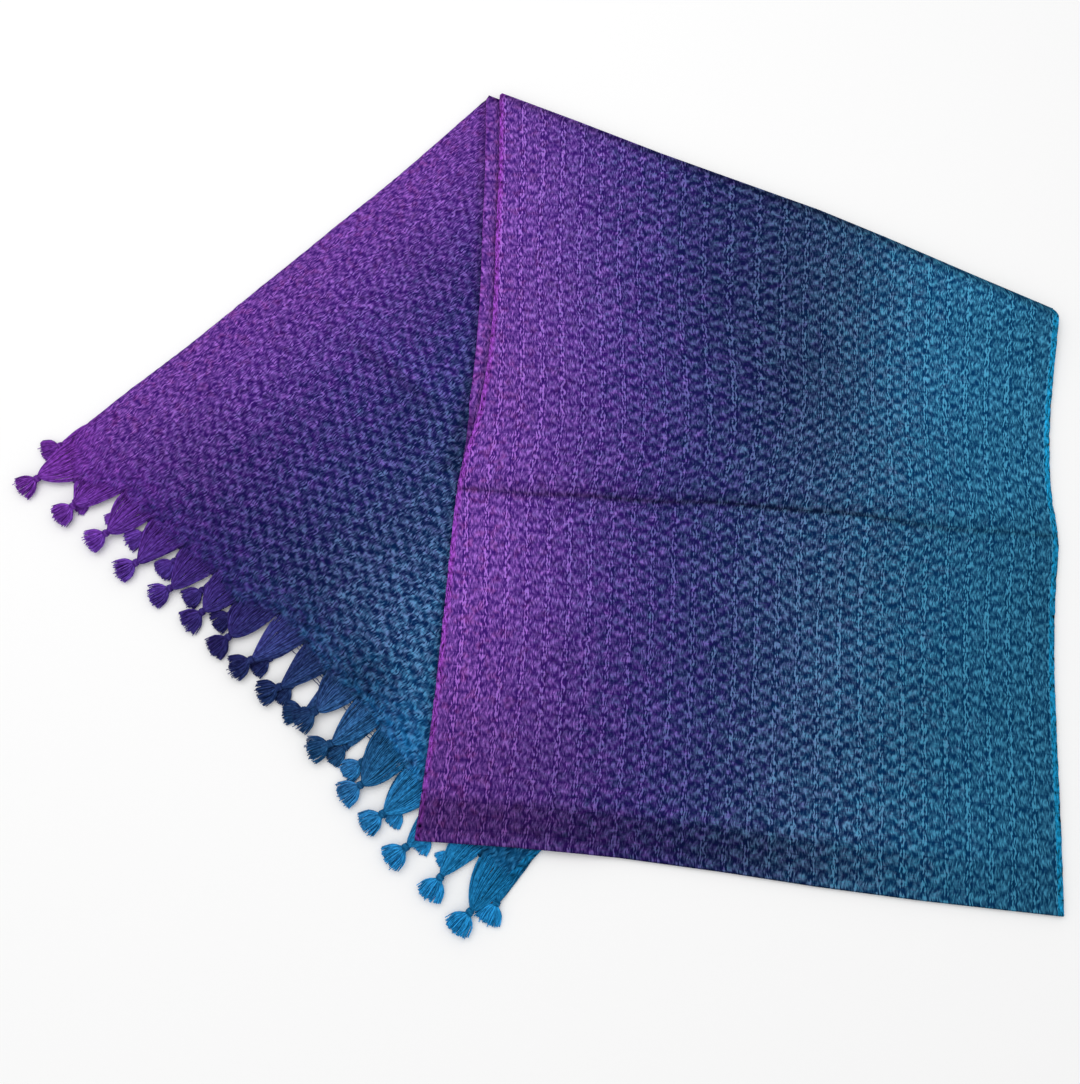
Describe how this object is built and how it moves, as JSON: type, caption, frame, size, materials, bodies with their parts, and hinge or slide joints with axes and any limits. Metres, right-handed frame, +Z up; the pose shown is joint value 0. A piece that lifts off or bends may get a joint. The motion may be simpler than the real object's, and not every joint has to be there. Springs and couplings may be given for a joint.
{
  "type": "scarf",
  "caption": "Handwoven scarf with dyed stripes from purple through navy to teal and knotted tassels, folded end to end and over on a slanting line, lying flat",
  "frame": {"origin": "on the resting surface, under the middle of the scarf's bounding box", "axes": "+Z up from the surface. +Y along the panel's long side, towards the slanting top fold. +X towards the panel's turquoise edge, away from the leg with the tassels."},
  "size_m": [0.9024, 0.759, 0.0088],
  "materials": {
    "cloth": "matt handwoven cloth, dyed in a gradient across its width from magenta-purple through navy to turquoise",
    "tassel_purple": "matt yarn",
    "tassel_navy": "matt yarn",
    "tassel_teal": "matt yarn"
  },
  "bodies": {
    "root": {"panel_front": "cloth", "panel_inner_edge": "cloth", "leg_upper": "cloth", "leg_lower": "cloth", "hidden_layers": "cloth", "tassel_front_01": "tassel_purple", "tassel_front_02": "tassel_purple", "tassel_front_03": "tassel_purple", "tassel_front_04": "tassel_purple", "tassel_front_05": "tassel_purple", "tassel_front_06": "tassel_navy", "tassel_front_07": "tassel_navy", "tassel_front_08": "tassel_navy", "tassel_front_09": "tassel_navy", "tassel_front_10": "tassel_navy", "tassel_front_11": "tassel_navy", "tassel_front_12": "tassel_teal", "tassel_front_13": "tassel_teal", "tassel_front_14": "tassel_teal", "tassel_front_15": "tassel_teal", "tassel_front_16": "tassel_teal", "tassel_back_01": "tassel_purple", "tassel_back_02": "tassel_purple", "tassel_back_03": "tassel_purple", "tassel_back_04": "tassel_purple", "tassel_back_05": "tassel_purple", "tassel_back_06": "tassel_navy", "tassel_back_07": "tassel_navy", "tassel_back_08": "tassel_navy", "tassel_back_09": "tassel_navy", "tassel_back_10": "tassel_navy", "tassel_back_11": "tassel_navy", "tassel_back_12": "tassel_teal", "tassel_back_13": "tassel_teal", "tassel_back_14": "tassel_teal", "tassel_back_15": "tassel_teal", "tassel_back_16": "tassel_teal"}
  },
  "joints": []
}
